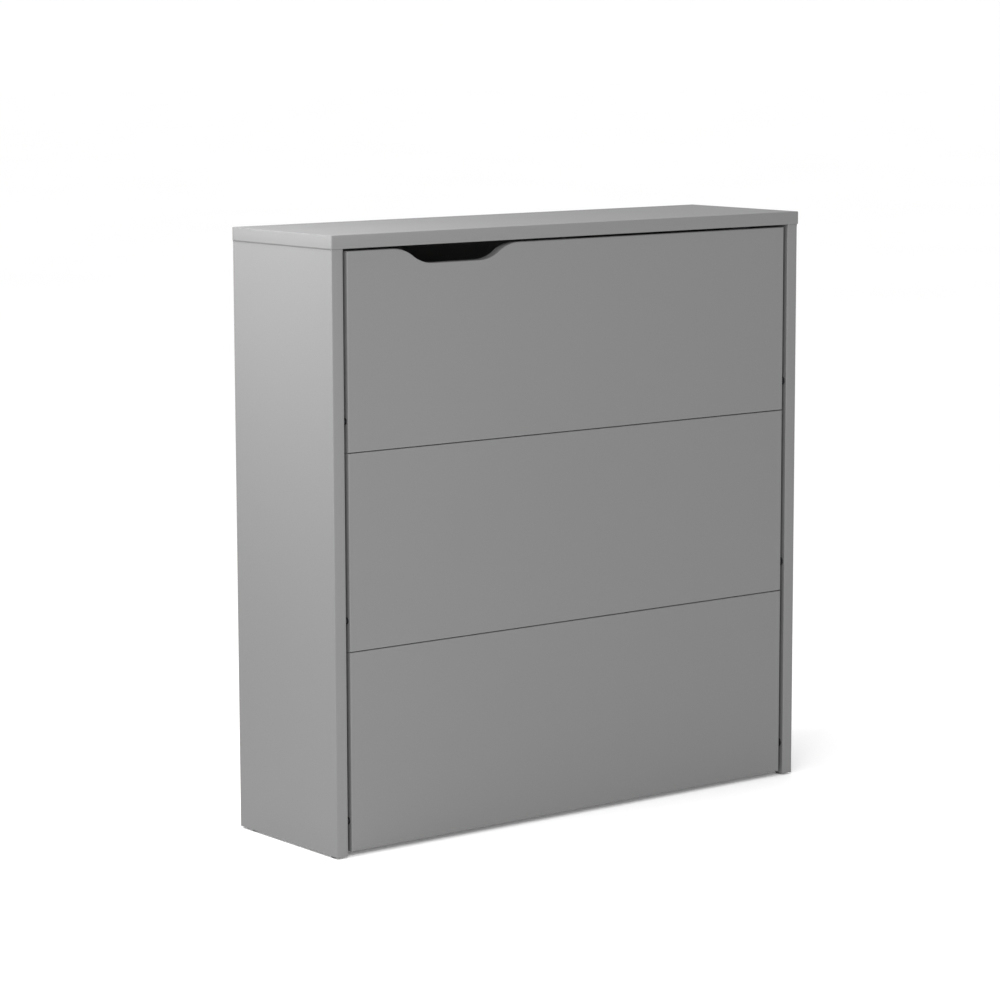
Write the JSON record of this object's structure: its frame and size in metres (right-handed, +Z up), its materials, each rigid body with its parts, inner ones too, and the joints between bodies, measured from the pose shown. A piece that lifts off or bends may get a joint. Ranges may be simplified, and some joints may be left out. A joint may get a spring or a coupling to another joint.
{
  "type": "shoe cabinet",
  "caption": "Slim upright shoe cabinet in grey lacquer with tip-out flaps that carry shoe bins, a finger cut-out in the top flap and push latches on the others.",
  "frame": {"origin": "centre of the footprint on the floor", "axes": "+X along the front to the right as seen from the front, -Y out of the front, +Z up"},
  "size_m": [0.994, 0.28, 1],
  "materials": {
    "lacquer": "satin grey lacquer on MDF",
    "melamine": "matt grey melamine-faced board",
    "fibreboard": "grey foil-faced thin fibreboard",
    "zinc_steel": "zinc plated",
    "zinc_cast": "die-cast zinc",
    "nylon": "natural nylon",
    "dark_plastic": "matt dark grey",
    "beech": "fluted beech",
    "magnet": "bare pole plates"
  },
  "bodies": {
    "carcass": {"top_panel": "lacquer", "side_panel_left": "lacquer", "side_panel_right": "lacquer", "base_panel": "melamine", "rail_upper": "melamine", "rail_lower": "melamine", "rear_rail": "melamine", "back_panel_upper": "fibreboard", "back_panel_lower": "fibreboard", "back_joining_strip": "nylon", "back_screws": "zinc_steel", "glides": "dark_plastic", "pivot_bushes": "dark_plastic", "stop_pins": "zinc_steel", "stop_sleeves": "nylon", "cam_locks": "zinc_cast", "cam_bolts": "zinc_steel", "dowels": "beech", "catch_housing": "dark_plastic", "catch_magnet": "magnet", "latch_housing_middle": "dark_plastic", "latch_housing_bottom": "dark_plastic", "latch_springs": "zinc_steel", "fitting_screws": "zinc_steel"},
    "flap_top": {"flap_panel_top": "lacquer", "bin_side_left_top": "melamine", "bin_side_right_top": "melamine", "bin_floor_top": "melamine", "bin_divider_top": "melamine", "bin_rear_lip_top": "melamine", "pivot_pins_top": "zinc_steel", "flap_brackets_top": "zinc_steel", "flap_screws_top": "zinc_steel", "bin_screws_top": "zinc_steel", "strike_plate_top": "zinc_steel"},
    "flap_middle": {"flap_panel_middle": "lacquer", "bin_side_left_middle": "melamine", "bin_side_right_middle": "melamine", "bin_floor_middle": "melamine", "bin_divider_middle": "melamine", "bin_rear_lip_middle": "melamine", "pivot_pins_middle": "zinc_steel", "flap_brackets_middle": "zinc_steel", "flap_screws_middle": "zinc_steel", "bin_screws_middle": "zinc_steel", "strike_plate_middle": "zinc_steel"},
    "flap_bottom": {"flap_panel_bottom": "lacquer", "bin_side_left_bottom": "melamine", "bin_side_right_bottom": "melamine", "bin_floor_bottom": "melamine", "bin_divider_bottom": "melamine", "bin_rear_lip_bottom": "melamine", "pivot_pins_bottom": "zinc_steel", "flap_brackets_bottom": "zinc_steel", "flap_screws_bottom": "zinc_steel", "bin_screws_bottom": "zinc_steel", "strike_plate_bottom": "zinc_steel"},
    "latch_plunger_middle": {"latch_plunger_middle": "nylon"},
    "latch_plunger_bottom": {"latch_plunger_bottom": "nylon"}
  },
  "joints": [
    {"name": "flap_top_tilt", "type": "hinge", "parent": "carcass", "child": "flap_top", "pos_m": [0, -0.128, 0.705], "axis": [1, 0, 0], "range_deg": [0, 42]},
    {"name": "flap_middle_tilt", "type": "hinge", "parent": "carcass", "child": "flap_middle", "pos_m": [0, -0.128, 0.385], "axis": [1, 0, 0], "range_deg": [0, 42]},
    {"name": "flap_bottom_tilt", "type": "hinge", "parent": "carcass", "child": "flap_bottom", "pos_m": [0, -0.128, 0.059], "axis": [1, 0, 0], "range_deg": [0, 42]},
    {"name": "latch_middle_slide", "type": "slide", "parent": "carcass", "child": "latch_plunger_middle", "axis": [0, -1, 0], "range_m": [0, 0.012]},
    {"name": "latch_bottom_slide", "type": "slide", "parent": "carcass", "child": "latch_plunger_bottom", "axis": [0, -1, 0], "range_m": [0, 0.012]}
  ],
  "couplings": [
    {"joint": "latch_middle_slide", "follows": "flap_middle_tilt", "m_per_rad": 0.01636},
    {"joint": "latch_bottom_slide", "follows": "flap_bottom_tilt", "m_per_rad": 0.01636}
  ]
}
